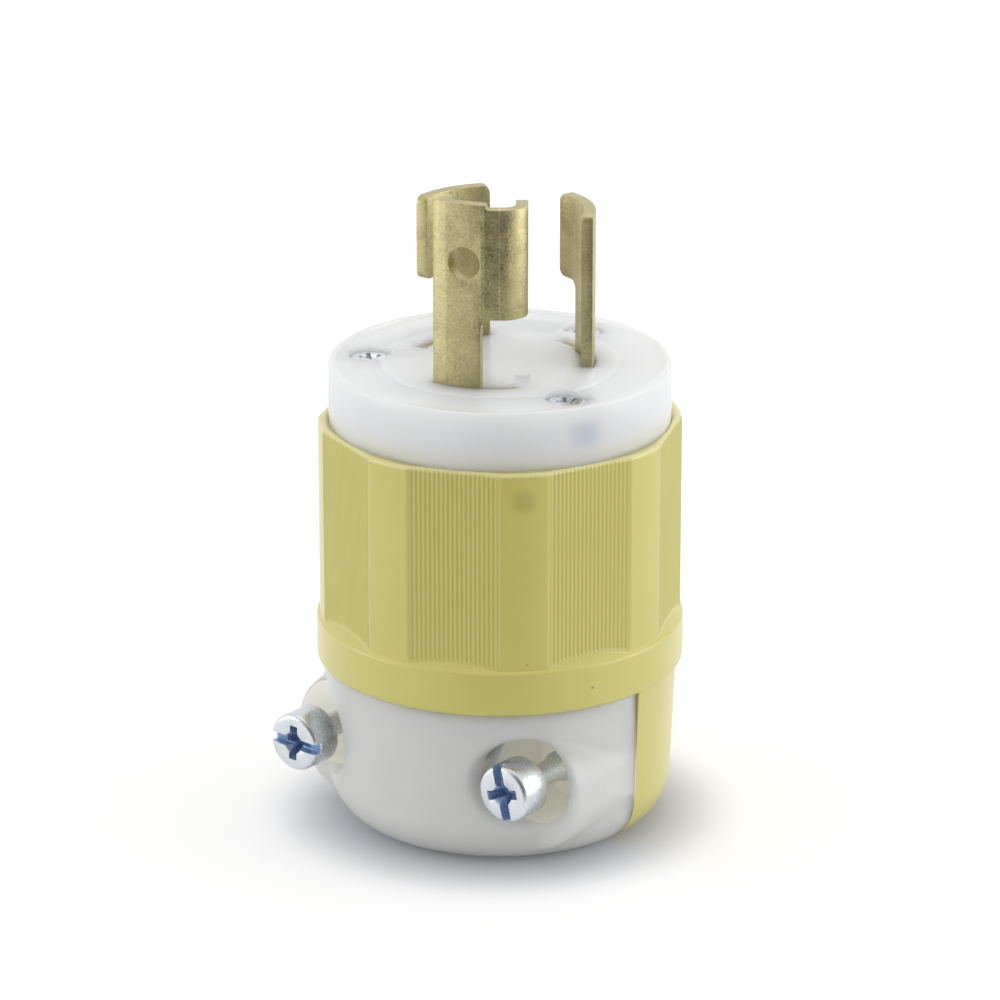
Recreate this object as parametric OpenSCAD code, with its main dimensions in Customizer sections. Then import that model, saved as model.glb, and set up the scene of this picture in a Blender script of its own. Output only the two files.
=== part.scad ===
// Locking power plug for three wires, with a screwed cord clamp.
// The origin is the centre of the mating face. +Z runs along the blades, away
// from the body, and the clamp screws are driven in along +Y.

/* [Face] */
// Radius of the white front body where it shows
face_r = 16.2; // [15.8:0.1:16.4]
// Height of the white band between the mating face and the shell
face_band = 5.6; // [4.5:0.1:7]
// Depth that the front body sinks into the top of the shell
face_sink = 1; // [0.6:0.1:1.6]
// Rounding of the mating face's outer edge
face_edge = 0.25; // [0.1:0.05:0.4]
// Radius of the raised middle of the mating face
plateau_r = 11.3; // [11:0.1:11.6]
// Width of the raised rim round the mating face
rim_w = 0.7; // [0.5:0.1:1]
// Depth of the ring between the middle and the rim
ring_depth = 0.25; // [0.1:0.05:0.4]
// Thickness of the face over the shoulders of the blades
face_plate = 3.2; // [2.6:0.1:3.8]
// Depth of the core that hangs from the face into the shell
core_depth = 12; // [11:0.5:13]
// Radius of the core
core_r = 14.6; // [14.3:0.1:14.8]

/* [Blades] */
// Outer radius of the circle that the blades stand on
blade_r = 8.95; // [8.7:0.05:9.1]
// Thickness of the brass strip
blade_t = 1.15; // [1:0.05:1.3]
// Height of the line and neutral blades above the face
blade_h = 14.7; // [13:0.1:16]
// Height of the ground blade above the face
ground_h = 17.6; // [16:0.1:19]
// Height of the ground blade's locking tab above the face
ground_tab_h = 17.15; // [15.5:0.05:17.6]
// Height of the open space under the locking tabs
tab_gap = 6.6; // [6:0.1:7.5]
// Where the ground blade begins round the face, in degrees
ground_start = -96.4; // [-98:0.1:-95]
// Where the line blade begins
line_start = 134.3; // [132:0.1:136]
// Where the neutral blade begins
neutral_start = 22.5; // [20:0.1:24]
// Arc of the ground blade's stem, in degrees
ground_stem = 32.3; // [30:0.1:35]
// Arc of the line blade's stem
line_stem = 33; // [31:0.1:35]
// Arc of the neutral blade's stem
neutral_stem = 40; // [38:0.1:42]
// Arc of the line blade with its locking tab
line_tab = 55.2; // [53:0.1:57]
// Arc of the neutral blade with its locking tab
neutral_tab = 59; // [57:0.1:61]
// Arc of the ground blade before it bends inwards, in degrees
hook_arc = 46.5; // [42:0.5:50]
// Angle of the ground blade's inward bend
hook_turn = 87; // [75:1:90]
// Outside radius of that bend
hook_bend_r = 2.3; // [2:0.05:2.6]
// Straight length of the ground blade after the bend
hook_leg = 2; // [1:0.1:2.5]
// Rounding of the blades' corners
corner_r = 0.8; // [0.4:0.1:1.2]
// Rounding in the notch between a stem and its tab
notch_r = 0.9; // [0.5:0.1:1.2]
// Diameter of the hole in the ground blade
ground_hole_d = 3.15; // [2:0.05:3.4]
// Height of that hole above the face
ground_hole_z = 11.9; // [11:0.1:13]
// Arc from the ground blade's edge to that hole, in degrees
ground_hole_arc = 21.8; // [18:0.1:24]
// Clearance round a blade in its slot
slot_clear = 0.15; // [0.08:0.01:0.2]
// Extra length of each slot past the locking tab
slot_room = 0.5; // [0.3:0.05:0.7]
// Depth of the blades' shoulders below the face, inside the slots
shoulder_sink = 0.8; // [0.5:0.1:1.5]
// Reach of the shoulders past the slots, under the face
shoulder_reach = 0.5; // [0.3:0.1:0.6]
// Height of the shoulders under the face
shoulder_h = 1.5; // [1:0.1:2]

/* [Grip] */
// Radius of the plain lands of the grip
grip_r = 17.2; // [17.1:0.05:17.4]
// Height of the grip
grip_h = 19.4; // [17:0.1:22]
// Number of ribbed panels round the grip
panel_count = 8; // [7:1:9]
// Share of each sector that the panel takes
panel_share = 0.65; // [0.5:0.05:0.7]
// Depth of each panel at its middle
panel_depth = 0.6; // [0.5:0.05:0.65]
// Number of fine ribs in each panel
rib_count = 20; // [10:1:24]
// Depth of the grooves between the fine ribs
rib_depth = 0.1; // [0.06:0.01:0.12]
// Chamfer round the grip's top edge
grip_chamfer = 0.3; // [0.1:0.05:0.4]
// Height of the ramp at the foot of each panel
ramp_h = 0.7; // [0.4:0.1:1.2]
// Radius of the flange under the grip
flange_r = 17.5; // [17.4:0.05:18]
// Height of the flange
flange_h = 4.3; // [3.5:0.1:5.5]
// Rounding of the flange's edges
flange_edge = 0.4; // [0.2:0.1:0.6]

/* [Wiring chamber] */
// Inside radius of the wiring chamber
chamber_r = 15; // [14.9:0.05:15.2]
// Thickness of the floor under the wiring chamber
floor_t = 2; // [1.5:0.1:3]
// Radius of the posts that the assembly screws bite into
post_r = 2.4; // [2:0.1:2.5]
// Thickness of the retainer behind the blades
retainer_t = 2; // [1.5:0.1:3]
// Width of the conductor windows in the retainer
window_w = 5; // [4.5:0.1:6]

/* [Cord end] */
// Radius of the cord end just under the flange
tail_r = 16.9; // [16.6:0.1:17.1]
// Amount that the cord end narrows towards its base
tail_taper = 0.5; // [0:0.1:1]
// Height of the cord end below the flange
tail_h = 16.1; // [15.8:0.1:18]
// Rounding between the cord end's side and its base
tail_round = 4.6; // [3.6:0.1:5]
// Wall of the cord end
tail_wall = 2.4; // [2:0.1:2.8]
// Thickness of the cord end's base and of the clamp's top
tail_plate = 3; // [2.5:0.1:3.5]
// Distance of the split plane in front of the axis
split_y = 0.5; // [0.2:0.1:1.2]
// Gap at the split between the clamp and the shell
clamp_gap = 0.1; // [0.05:0.05:0.2]
// Radius of the cord entry
cord_r = 5.6; // [5:0.1:5.8]
// Number of gripping webs inside the cord entry
web_count = 2; // [1:1:3]
// Thickness of each gripping web
web_t = 1.4; // [1:0.1:1.6]
// How much further in the gripping webs reach than the cord entry
web_bite = 0.6; // [0.3:0.1:1]

/* [Clamp screws] */
// Distance of each clamp screw from the middle plane
clamp_x = 11.8; // [11.6:0.05:12]
// Depth of the clamp screws below the mating face
clamp_z = 36.4; // [36.2:0.1:37]
// How far the head of the left screw stands in front of the axis
left_out = 17; // [15:0.1:18]
// How far the head of the right screw stands in front of the axis
right_out = 15.1; // [13.5:0.1:17]
// Diameter of the clamp screws' heads
clamp_head_d = 5.6; // [5:0.1:6]
// Height of the clamp screws' heads
clamp_head_h = 3.4; // [2.4:0.1:3.6]
// Diameter of the clamp screws' thread
clamp_thread_d = 3; // [2.6:0.1:3.2]
// Diameter of the plain neck behind the head
clamp_neck_d = 2.3; // [2:0.1:2.5]
// Length of the plain neck
clamp_neck_l = 5; // [4:0.5:9]
// Length of the clamp screws under the head
clamp_l = 18; // [17:0.5:19]
// Radius of the clamp's ears
ear_r = 6.2; // [5.8:0.1:6.3]
// How far the middle of each ear lies below its screw
ear_drop = 1.2; // [0.8:0.1:1.4]
// How far the middle of each ear lies inside its screw
ear_shift = 1; // [0.8:0.1:1.2]
// How far the ears' faces stand in front of the axis
ear_y = 10.4; // [9:0.1:11]
// Diameter of the counterbores
clamp_bore_d = 8.6; // [7.4:0.1:8.8]
// Material left under each counterbore
clamp_seat = 3; // [2:0.1:4]
// Diameter of the holes that the clamp screws pass through
clamp_hole_d = 3.4; // [3.3:0.1:3.8]
// Radius of the pillars round the nuts
pillar_r = 4.6; // [4.4:0.1:5]
// Width of the nuts across their flats
nut_w = 5.5; // [5:0.1:5.8]
// Thickness of the nuts
nut_t = 2.4; // [1.8:0.1:2.8]
// Distance of the nuts behind the axis
nut_y = 1.8; // [1:0.1:3]

/* [Assembly screws] */
// Radius of the circle of assembly screws
assembly_r = 12.5; // [12.4:0.05:12.6]
// Where the first assembly screw stands round the face, in degrees
assembly_angle_1 = -23; // [-25:1:-21]
// Where the second assembly screw stands
assembly_angle_2 = 88; // [86:1:90]
// Where the third assembly screw stands
assembly_angle_3 = 207; // [205:1:209]
// Diameter of the assembly screws' heads
assembly_head_d = 3.8; // [3.4:0.1:4]
// Height of the assembly screws' heads
assembly_head_h = 1.8; // [1.4:0.1:2]
// How deep the heads lie under the face
assembly_sink = 0.45; // [0.3:0.05:0.8]
// Diameter of the assembly screws' thread
assembly_thread_d = 2.4; // [2:0.1:2.6]
// Length of the assembly screws under the head
assembly_l = 23; // [21:0.5:24]

/* [Terminals] */
// Width of the terminal wells
well_w = 9; // [8.6:0.1:9.4]
// Depth of the terminal screws below the mating face
terminal_z = 12.6; // [12.2:0.1:13]
// Diameter of the terminal screws' heads
terminal_head_d = 5.6; // [5:0.1:6]
// Height of the terminal screws' heads
terminal_head_h = 1.7; // [1.4:0.1:2]
// Diameter of the terminal screws' thread
terminal_thread_d = 3; // [2.6:0.1:3.2]
// How far the terminal screws pass through the blades
terminal_reach = 0.6; // [0.3:0.1:0.8]
// Width of the wire clamp plates
wire_clamp_w = 7.6; // [7:0.1:8]
// Thickness of the wire clamp plates
wire_clamp_t = 1; // [0.8:0.1:1.2]
// Room for a conductor between a blade and its clamp plate
wire_room = 1.4; // [1:0.1:1.5]

/* [Clearances] */
// Clearance between moulded pieces that fit into each other
fit_clear = 0.05; // [0.03:0.01:0.1]
// Clearance round a screw or a nut where it only passes or drops in
pass_clear = 0.15; // [0.1:0.01:0.2]
// Clearance round a thread where it bites
thread_clear = 0.02; // [0.01:0.01:0.05]

/* [Recesses] */
// Width of the screwdriver slots
slot_w = 0.9; // [0.6:0.1:1.1]
// Share of the head's height that a screwdriver slot is deep
slot_share = 0.45; // [0.3:0.05:0.6]

/* [Hidden] */
$fn = 96;
// Overlap of a cutter past the face that it cuts, the same where it cuts into
// the open, and the reach of one that cuts right out of the plug
eps = 0.01;
past = 1;
far = 40;

// The blades, and what each has of a size that all three share
GROUND = 0;
LINE = 1;
NEUTRAL = 2;
blade_starts = [ground_start, line_start, neutral_start];
stem_arcs = [ground_stem, line_stem, neutral_stem];
tab_arcs = [hook_arc, line_tab, neutral_tab];
assembly_angles = [assembly_angle_1, assembly_angle_2, assembly_angle_3];

// Heights along the plug, from the face downwards
shell_top = -face_band;
ledge_z = shell_top - face_sink;
core_z = ledge_z - core_depth;
retainer_z = core_z - retainer_t;
grip_z = shell_top - grip_h;
flange_z = grip_z - flange_h;
floor_z = flange_z + floor_t;
base_z = flange_z - tail_h;

// Radii of the strip that the blades are cut from
blade_in = blade_r - blade_t;
blade_mid = blade_r - blade_t / 2;
well_in = blade_in - terminal_reach - wire_room / 2;
well_out = blade_r + wire_room / 2;

function deg_at(radius, length) = length / radius * 180 / PI;

// Arcs measured from each blade's own edge
reach_arc = deg_at(blade_r, shoulder_reach);
side_arc = deg_at(blade_r, slot_clear);
hook_end_arc = hook_arc + deg_at(blade_r, hook_bend_r);
function full_arc(which) = which == GROUND ? hook_end_arc : tab_arcs[which];
function slot_arc(which) = which == GROUND
    ? hook_end_arc + side_arc
    : full_arc(which) + deg_at(blade_r, slot_room);
function foot_mid(which) = stem_arcs[which] / 2;

// A part of a ring between two radii and two heights, over an arc.
module sector(r_low, r_high, arc_low, arc_high, z_low, z_high) {
    rotate([0, 0, arc_low])
        rotate_extrude(angle = arc_high - arc_low)
            translate([r_low, z_low])
                square([r_high - r_low, z_high - z_low]);
}

// What a rounded corner loses, in 2D: the corner is at the origin, and sx and
// sy say on which side of it the material lies. The round is a hair too large,
// so that it crosses both sides instead of only touching them.
module corner_loss(radius, sx, sy) {
    difference() {
        translate([sx < 0 ? -radius : -eps, sy < 0 ? -radius : -eps])
            square(radius + eps);
        translate([sx * radius, sy * radius])
            circle(radius + eps / 2);
    }
}

// The same for a blade, whose corner is at an arc and a height on its circle.
module blade_corner_loss(radius, arc, z, side, up) {
    rotate([0, 0, arc])
        translate([blade_mid, 0, z])
            rotate([90, 0, 90])
                linear_extrude(2 * blade_t, center = true)
                    corner_loss(radius, side, up);
}

// Everything over an arc and between two heights, to cut a blade with.
module wedge(arc_low, arc_high, z_low, z_high) {
    translate([0, 0, z_low])
        linear_extrude(z_high - z_low)
            polygon([
                [0, 0],
                [far * cos(arc_low), far * sin(arc_low)],
                [far * cos(arc_high), far * sin(arc_high)]
            ]);
}

// ---------------------------------------------------------------- the blades

// The ground blade's inward bend and the leg after it, as a plan that grows by
// a margin on every side, between two heights. The bend is a hair thinner than
// the blade, the leg a hair thinner than the bend, and each starts a hair
// inside the one before it.
module hook(margin, z_low, z_high) {
    bend_grow = margin - eps;
    leg_grow = margin - 2 * eps;
    lap = 5 * eps;
    rotate([0, 0, hook_arc])
        translate([blade_r - hook_bend_r, 0, 0]) {
            sector(hook_bend_r - blade_t - bend_grow, hook_bend_r + bend_grow,
                -deg_at(hook_bend_r, lap), hook_turn, z_low, z_high);
            rotate([0, 0, hook_turn])
                translate([hook_bend_r - blade_t - leg_grow, -lap, z_low])
                    cube([blade_t + 2 * leg_grow, lap + hook_leg + margin,
                        z_high - z_low]);
        }
}

// A strip of the blades' circle, cut to the stem, the tab and the shoulders.
// Its stem begins on the X axis. The shoulder fills the slot, reaches past it
// under the face and stops the blade there; the foot goes on into its well.
module blade_strip(which, tab, top) {
    stem = stem_arcs[which];
    low_arc = -reach_arc;
    high_arc = slot_arc(which) + reach_arc;
    past_arc = 2 * reach_arc;
    shoulder_low = -face_plate - shoulder_h;
    difference() {
        sector(blade_in, blade_r, low_arc, high_arc, core_z, top);
        wedge(low_arc - past_arc, 0, -face_plate, top + past);
        wedge(low_arc - past_arc, 0, core_z - past, shoulder_low);
        wedge(stem, high_arc + past_arc, core_z - past, shoulder_low);
        wedge(full_arc(which), high_arc + past_arc, -face_plate, tab_gap);
        wedge(tab, high_arc + past_arc, -shoulder_sink, top + past);
        difference() {
            wedge(stem, high_arc + past_arc, -shoulder_sink, tab_gap);
            blade_corner_loss(notch_r, stem, tab_gap, 1, -1);
        }
    }
}

// The tapped hole for the terminal screw, through the foot of a blade.
module terminal_hole(which) {
    rotate([0, 0, foot_mid(which)])
        translate([blade_mid, 0, -terminal_z])
            rotate([0, 90, 0])
                cylinder(r = terminal_thread_d / 2 + thread_clear, h = 2 * blade_t,
                    center = true);
}

// A line or neutral blade, with its edge on the X axis.
module power_blade(which) {
    tab = tab_arcs[which];
    difference() {
        blade_strip(which, tab, blade_h);
        blade_corner_loss(corner_r, 0, blade_h, 1, -1);
        blade_corner_loss(corner_r, tab, blade_h, -1, -1);
        blade_corner_loss(corner_r, tab, tab_gap, -1, 1);
        terminal_hole(which);
    }
}

// The ground blade is taller, has a hole, and its tab is bent inwards.
module earth_blade() {
    step_arc = stem_arcs[GROUND] + deg_at(blade_mid, ground_h - ground_tab_h);
    difference() {
        union() {
            difference() {
                blade_strip(GROUND, hook_arc, ground_h);
                wedge(step_arc, hook_arc + reach_arc, ground_tab_h, ground_h + past);
            }
            hook(0, tab_gap + eps, ground_tab_h - eps);
        }
        blade_corner_loss(corner_r, 0, ground_h, 1, -1);
        rotate([0, 0, ground_hole_arc])
            translate([blade_mid, 0, ground_hole_z])
                rotate([0, 90, 0])
                    cylinder(d = ground_hole_d, h = 2 * blade_t, center = true);
        terminal_hole(GROUND);
    }
}

module ground_blade() {
    color("darkkhaki") rotate([0, 0, blade_starts[GROUND]]) earth_blade();
}

module line_blade() {
    color("darkkhaki") rotate([0, 0, blade_starts[LINE]]) power_blade(LINE);
}

module neutral_blade() {
    color("darkkhaki") rotate([0, 0, blade_starts[NEUTRAL]]) power_blade(NEUTRAL);
}

// ------------------------------------------------------------- the terminals

// A terminal screw lies along the radius through the middle of its blade, with
// its head outwards against the wire clamp.
head_seat_r = blade_r + wire_room + wire_clamp_t;

module terminal_screw(which) {
    rotate([0, 0, blade_starts[which] + foot_mid(which)])
        translate([0, 0, -terminal_z])
            rotate([0, 90, 0])
                difference() {
                    union() {
                        translate([0, 0, head_seat_r])
                            cylinder(d = terminal_head_d, h = terminal_head_h);
                        translate([0, 0, blade_in - terminal_reach])
                            cylinder(d = terminal_thread_d,
                                h = head_seat_r - blade_in + terminal_reach + eps);
                    }
                    driver_slot(terminal_head_d, terminal_head_h,
                        head_seat_r + terminal_head_h);
                }
}

// A straight screwdriver slot across a head whose top is at a height.
module driver_slot(head_d, head_h, top) {
    translate([0, 0, top - head_h * slot_share / 2 + eps])
        cube([head_d + past, slot_w, head_h * slot_share + eps], center = true);
}

// A square plate that the screw presses onto the conductor.
module wire_clamp(which) {
    rotate([0, 0, blade_starts[which] + foot_mid(which)])
        difference() {
            translate([blade_r + wire_room, -wire_clamp_w / 2,
                -terminal_z - wire_clamp_w / 2])
                cube([wire_clamp_t, wire_clamp_w, wire_clamp_w]);
            translate([blade_r, 0, -terminal_z])
                rotate([0, 90, 0])
                    cylinder(r = terminal_thread_d / 2 + pass_clear,
                        h = wire_room + 2 * wire_clamp_t);
        }
}

module ground_terminal_screw() { color("seagreen") terminal_screw(GROUND); }

module line_terminal_screw() { color("goldenrod") terminal_screw(LINE); }

module neutral_terminal_screw() { color("silver") terminal_screw(NEUTRAL); }

module ground_wire_clamp() { color("darkgray") wire_clamp(GROUND); }

module line_wire_clamp() { color("darkgray") wire_clamp(LINE); }

module neutral_wire_clamp() { color("darkgray") wire_clamp(NEUTRAL); }

// ------------------------------------------------------------ the front body

// Half of the front body's section: the face with its raised middle and rim,
// the band that shows, and the core inside the shell.
module front_section() {
    difference() {
        polygon([
            [0, 0],
            [plateau_r, 0],
            [plateau_r, -ring_depth],
            [face_r - rim_w, -ring_depth],
            [face_r - rim_w, 0],
            [face_r, 0],
            [face_r, ledge_z],
            [core_r, ledge_z],
            [core_r, core_z],
            [0, core_z]
        ]);
        translate([face_r, 0])
            corner_loss(face_edge, -1, -1);
    }
}

// The slot that a blade is pushed up through, and the well for its foot and
// its terminal, in the frame of the blade.
module blade_room(which) {
    shoulder_z = -face_plate;
    sector(blade_in - slot_clear, blade_r + slot_clear, -side_arc,
        slot_arc(which), core_z - eps, eps);
    if (which == GROUND)
        hook(slot_clear, core_z - 2 * eps, 2 * eps);
    sector(well_in, well_out, -reach_arc - side_arc,
        slot_arc(which) + reach_arc + side_arc, core_z - eps, shoulder_z);
    rotate([0, 0, foot_mid(which)])
        translate([well_in, -well_w / 2, core_z - eps])
            cube([far, well_w, well_top - core_z + eps]);
}

// The wells are open to the side of the core up to just over the clamp plates.
well_top = -terminal_z + wire_clamp_w / 2 + pass_clear;

module front_body() {
    color("whitesmoke")
        difference() {
            rotate_extrude()
                front_section();
            for (which = [GROUND, LINE, NEUTRAL])
                rotate([0, 0, blade_starts[which]])
                    blade_room(which);
            for (angle = assembly_angles)
                rotate([0, 0, angle])
                    translate([assembly_r, 0, 0]) {
                        translate([0, 0, -far])
                            cylinder(r = assembly_thread_d / 2 + pass_clear, h = far);
                        translate([0, 0, assembly_seat_z])
                            cylinder(r = assembly_head_d / 2 + pass_clear, h = far);
                    }
        }
}

// ---------------------------------------------------------- the back shell

// Corners of one panel's ribbed line, from one land to the next. The line is
// a shallow curve between the lands, and every second point is a groove.
panel_half = 180 / panel_count * panel_share;
panel_x = grip_r * sin(panel_half);
panel_side_y = grip_r * cos(panel_half);
panel_mid_y = grip_r - panel_depth;
function panel_y(t) = panel_mid_y + (panel_side_y - panel_mid_y) * t * t;
panel_line = [
    for (i = [0 : 2 * rib_count])
        let (t = i / rib_count - 1)
            [panel_y(t) - (i % 2) * rib_depth, -t * panel_x]
];

// What one panel takes off the round grip.
module panel_cut() {
    translate([0, 0, grip_z])
        linear_extrude(grip_h + eps)
            polygon(concat(
                [[far, panel_x * far / panel_side_y]],
                panel_line,
                [[far, -panel_x * far / panel_side_y]]
            ));
}

module grip() {
    difference() {
        translate([0, 0, grip_z])
            cylinder(r = grip_r, h = grip_h);
        for (i = [0 : panel_count - 1])
            rotate([0, 0, (i + 0.5) * 360 / panel_count])
                panel_cut();
        rotate_extrude()
            translate([grip_r, shell_top])
                polygon([[-grip_chamfer, eps], [eps, -grip_chamfer],
                    [past, -grip_chamfer], [past, eps]]);
    }
}

// The flange, with the ramp that closes the foot of each panel.
module flange() {
    ramp_r = panel_mid_y - rib_depth;
    rotate_extrude()
        difference() {
            polygon([
                [0, flange_z],
                [flange_r, flange_z],
                [flange_r, grip_z],
                [ramp_r + ramp_h, grip_z],
                [ramp_r, grip_z + ramp_h],
                [0, grip_z + ramp_h]
            ]);
            translate([flange_r, flange_z])
                corner_loss(flange_edge, -1, 1);
            translate([flange_r, grip_z])
                corner_loss(flange_edge, -1, -1);
        }
}

// Section of the whole cord end, drawn in by an amount for its inside.
module tail_section(inset, plate) {
    side = tail_r - inset;
    foot = side - tail_taper;
    round = tail_round - inset / 2;
    low = base_z + plate;
    polygon([
        [0, flange_z - plate],
        [side, flange_z - plate],
        [foot, low + round],
        [foot - round, low],
        [0, low]
    ]);
    translate([foot - round, low + round])
        circle(round);
}

module tail_outside() {
    rotate_extrude()
        tail_section(0, 0);
}

// The cord end's hollow: its inside, less the webs that grip the cord.
module tail_hollow() {
    web_pitch = (tail_h - 2 * tail_plate) / (web_count + 1);
    difference() {
        rotate_extrude()
            tail_section(tail_wall, tail_plate);
        for (i = [1 : web_count])
            translate([0, 0, base_z + tail_plate + i * web_pitch - web_t / 2])
                difference() {
                    cylinder(r = tail_r, h = web_t);
                    translate([0, 0, -eps])
                        cylinder(r = cord_r - web_bite, h = web_t + 2 * eps);
                }
    }
}

// Places something on both clamp screws' axes, along +Y from the axis plane.
module at_clamp_screws() {
    for (side = [-1, 1])
        translate([side * clamp_x, 0, -clamp_z])
            rotate([-90, 0, 0])
                children();
}

// The half space behind the split plane, or in front of it, set back by a gap.
module behind_split() {
    translate([-far, -split_y, base_z - far])
        cube([2 * far, far, 2 * far]);
}

module before_split() {
    translate([-far, -split_y - clamp_gap - far, base_z - far])
        cube([2 * far, far, 2 * far]);
}

module cord_bore() {
    translate([0, 0, base_z - eps])
        cylinder(r = cord_r, h = tail_plate + 2 * eps);
    translate([0, 0, flange_z - tail_plate - eps])
        cylinder(r = cord_r, h = tail_plate + floor_t + 2 * eps);
}

// A post for an assembly screw, joined to the chamber's wall.
module post() {
    translate([assembly_r, 0, floor_z - eps])
        cylinder(r = post_r, h = retainer_z - floor_z + eps);
    translate([assembly_r, -post_r / 2, floor_z - eps])
        cube([chamber_r - assembly_r + eps, post_r, retainer_z - floor_z + eps]);
}

// The pillars that the clamp screws run into. Each nut slides into its pillar
// from the cord's side, and the holes end behind the screws' tips.
pocket_w = nut_w + 2 * pass_clear;
pocket_t = nut_t + pass_clear;
clamp_end_y = clamp_head_h + clamp_l - min(left_out, right_out) + pass_clear;

module pillars() {
    difference() {
        at_clamp_screws()
            cylinder(r = pillar_r, h = far);
        translate([-clamp_x, nut_y + eps, eps - clamp_z - pocket_w / 2])
            cube([2 * clamp_x, pocket_t - 2 * eps, pocket_w - 2 * eps]);
    }
}

module shell_tail() {
    difference() {
        intersection() {
            tail_outside();
            behind_split();
        }
        difference() {
            tail_hollow();
            pillars();
        }
        at_clamp_screws() {
            translate([0, 0, -far])
                cylinder(d = clamp_hole_d, h = far + clamp_end_y);
            translate([0, 0, nut_y])
                nut_prism(pocket_w, pocket_t);
        }
    }
}

module back_shell() {
    color("khaki")
        difference() {
            union() {
                difference() {
                    union() {
                        grip();
                        flange();
                    }
                    translate([0, 0, floor_z])
                        cylinder(r = chamber_r, h = far);
                    translate([0, 0, ledge_z])
                        cylinder(r = face_r + fit_clear, h = far);
                }
                shell_tail();
                for (angle = assembly_angles)
                    rotate([0, 0, angle])
                        post();
            }
            cord_bore();
            for (angle = assembly_angles)
                rotate([0, 0, angle])
                    translate([assembly_r, 0, assembly_end_z - pass_clear])
                        cylinder(r = assembly_thread_d / 2 + thread_clear, h = far);
        }
}

// ------------------------------------------------------------ the cord clamp

module cord_clamp() {
    color("gainsboro")
        difference() {
            union() {
                intersection() {
                    tail_outside();
                    before_split();
                }
                ears();
            }
            difference() {
                tail_hollow();
                ears();
            }
            cord_bore();
            at_clamp_screws() {
                translate([0, 0, -far])
                    cylinder(d = clamp_hole_d, h = 2 * far);
                translate([0, 0, -far - split_y - clamp_gap - clamp_seat])
                    cylinder(d = clamp_bore_d, h = far);
            }
        }
}

// The round ears that carry the screws, from the split to their flat faces.
// They are hollowed where the cord passes between them.
module ears() {
    clamp_back = split_y + clamp_gap;
    difference() {
        for (side = [-1, 1])
            translate([side * (clamp_x - ear_shift), -clamp_back,
                -clamp_z - ear_drop])
                rotate([90, 0, 0])
                    cylinder(r = ear_r, h = ear_y - clamp_back);
        translate([0, 0, base_z])
            cylinder(r = cord_r + pass_clear, h = tail_h);
    }
}

// -------------------------------------------------- the retainer and screws

module blade_retainer() {
    color("dimgray")
        difference() {
            translate([0, 0, retainer_z])
                cylinder(r = core_r, h = retainer_t);
            for (which = [GROUND, LINE, NEUTRAL])
                rotate([0, 0, blade_starts[which] + foot_mid(which)])
                    translate([blade_r, -window_w / 2, retainer_z - eps])
                        cube([far, window_w, retainer_t + 2 * eps]);
            for (angle = assembly_angles)
                rotate([0, 0, angle])
                    translate([assembly_r, 0, retainer_z - eps])
                        cylinder(r = assembly_thread_d / 2 + pass_clear,
                            h = retainer_t + 2 * eps);
        }
}

assembly_seat_z = -assembly_sink - assembly_head_h;
assembly_end_z = assembly_seat_z - assembly_l;

module assembly_screw(index) {
    rotate([0, 0, assembly_angles[index]])
        translate([assembly_r, 0, 0])
            difference() {
                union() {
                    translate([0, 0, assembly_seat_z])
                        cylinder(d = assembly_head_d, h = assembly_head_h);
                    translate([0, 0, assembly_end_z])
                        cylinder(d = assembly_thread_d, h = assembly_l + eps);
                }
                driver_slot(assembly_head_d, assembly_head_h, -assembly_sink);
            }
}

module assembly_screw_1() { color("silver") assembly_screw(0); }

module assembly_screw_2() { color("silver") assembly_screw(1); }

module assembly_screw_3() { color("silver") assembly_screw(2); }

// A clamp screw lies along Y, on the left (-1) or the right (1). Its head has a
// straight slot crossed by a shorter one, and a thin neck separates it from the
// thread.
module clamp_screw(side, out) {
    neck_r = clamp_neck_d / 2;
    translate([side * clamp_x, -out, -clamp_z])
        rotate([-90, 0, 0])
            difference() {
                union() {
                    cylinder(d = clamp_head_d, h = clamp_head_h);
                    cylinder(r = neck_r, h = clamp_head_h + clamp_neck_l + eps);
                    translate([0, 0, clamp_head_h + clamp_neck_l])
                        cylinder(d = clamp_thread_d, h = clamp_l - clamp_neck_l);
                }
                rotate([180, 0, 0]) {
                    driver_slot(clamp_head_d, clamp_head_h, 0);
                    rotate([0, 0, 90])
                        driver_slot(clamp_head_d * slot_share, clamp_head_h, 0);
                }
            }
}

module clamp_screw_left() { color("silver") clamp_screw(-1, left_out); }

module clamp_screw_right() { color("silver") clamp_screw(1, right_out); }

module nut_prism(width, height) {
    cylinder(d = width / cos(30), h = height, $fn = 6);
}

module clamp_nut(side) {
    translate([side * clamp_x, 0, -clamp_z])
        rotate([-90, 0, 0])
            translate([0, 0, nut_y])
                difference() {
                    nut_prism(nut_w, nut_t);
                    translate([0, 0, -eps])
                        cylinder(r = clamp_thread_d / 2 + thread_clear,
                            h = nut_t + 2 * eps);
                }
}

module clamp_nut_left() { color("lightsteelblue") clamp_nut(-1); }

module clamp_nut_right() { color("lightsteelblue") clamp_nut(1); }

front_body();
back_shell();
cord_clamp();
blade_retainer();
ground_blade();
line_blade();
neutral_blade();
ground_terminal_screw();
line_terminal_screw();
neutral_terminal_screw();
ground_wire_clamp();
line_wire_clamp();
neutral_wire_clamp();
assembly_screw_1();
assembly_screw_2();
assembly_screw_3();
clamp_screw_left();
clamp_screw_right();
clamp_nut_left();
clamp_nut_right();
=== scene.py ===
import math

import bpy
from mathutils import Matrix, Vector


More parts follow.
